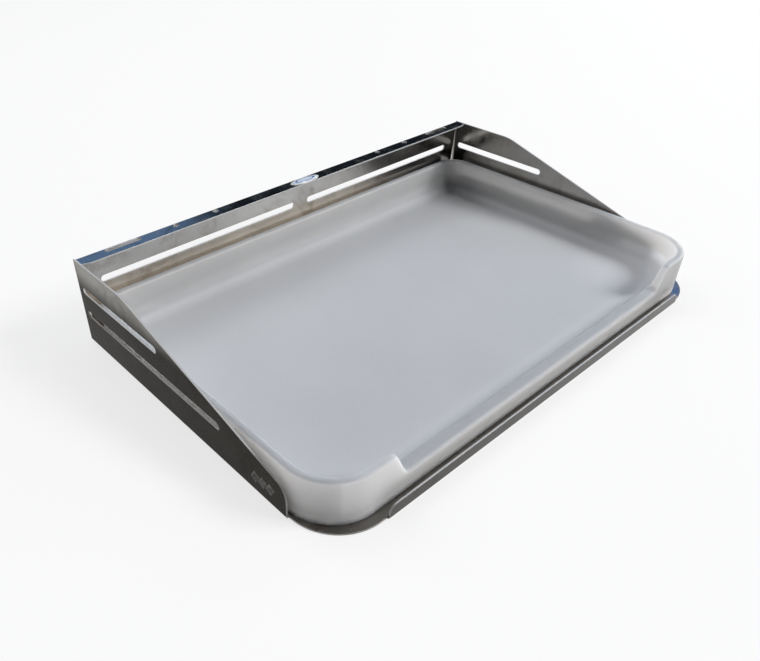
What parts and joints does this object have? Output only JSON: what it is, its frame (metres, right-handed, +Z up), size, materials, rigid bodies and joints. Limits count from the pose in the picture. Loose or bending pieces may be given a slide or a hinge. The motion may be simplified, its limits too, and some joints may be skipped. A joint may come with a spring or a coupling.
{
  "type": "bait cutting board",
  "caption": "Folded stainless frame with sloped side cheeks and a slotted rear tool shelf, holding a thick lift-out poly cutting tray with a low front edge.",
  "frame": {"origin": "middle of the frame's underside, at the level it stands on", "axes": "+X from the left cheek to the right cheek, +Y from the front lip to the back panel, +Z up"},
  "size_m": [0.7, 0.45, 0.1174],
  "materials": {
    "steel": "bright rolled stainless sheet, half mirror",
    "weld": "polished weld bead",
    "tray_poly": "milky, slightly translucent, satin",
    "badge_white": "gloss",
    "badge_blue": "clear domed gloss over a pale field"
  },
  "bodies": {
    "frame": {"base_plate": "steel", "front_lip": "steel", "left_side_panel": "steel", "right_side_panel": "steel", "back_panel": "steel", "tool_shelf": "steel", "shelf_corner_welds": "weld", "badge_backing": "badge_white", "badge_dome": "badge_blue"},
    "tray": {"cutting_tray": "tray_poly"}
  },
  "joints": [
    {"name": "tray_lift", "type": "slide", "parent": "frame", "child": "tray", "axis": [0, -0.5, 0.866], "range_m": [0, 0.15]}
  ]
}
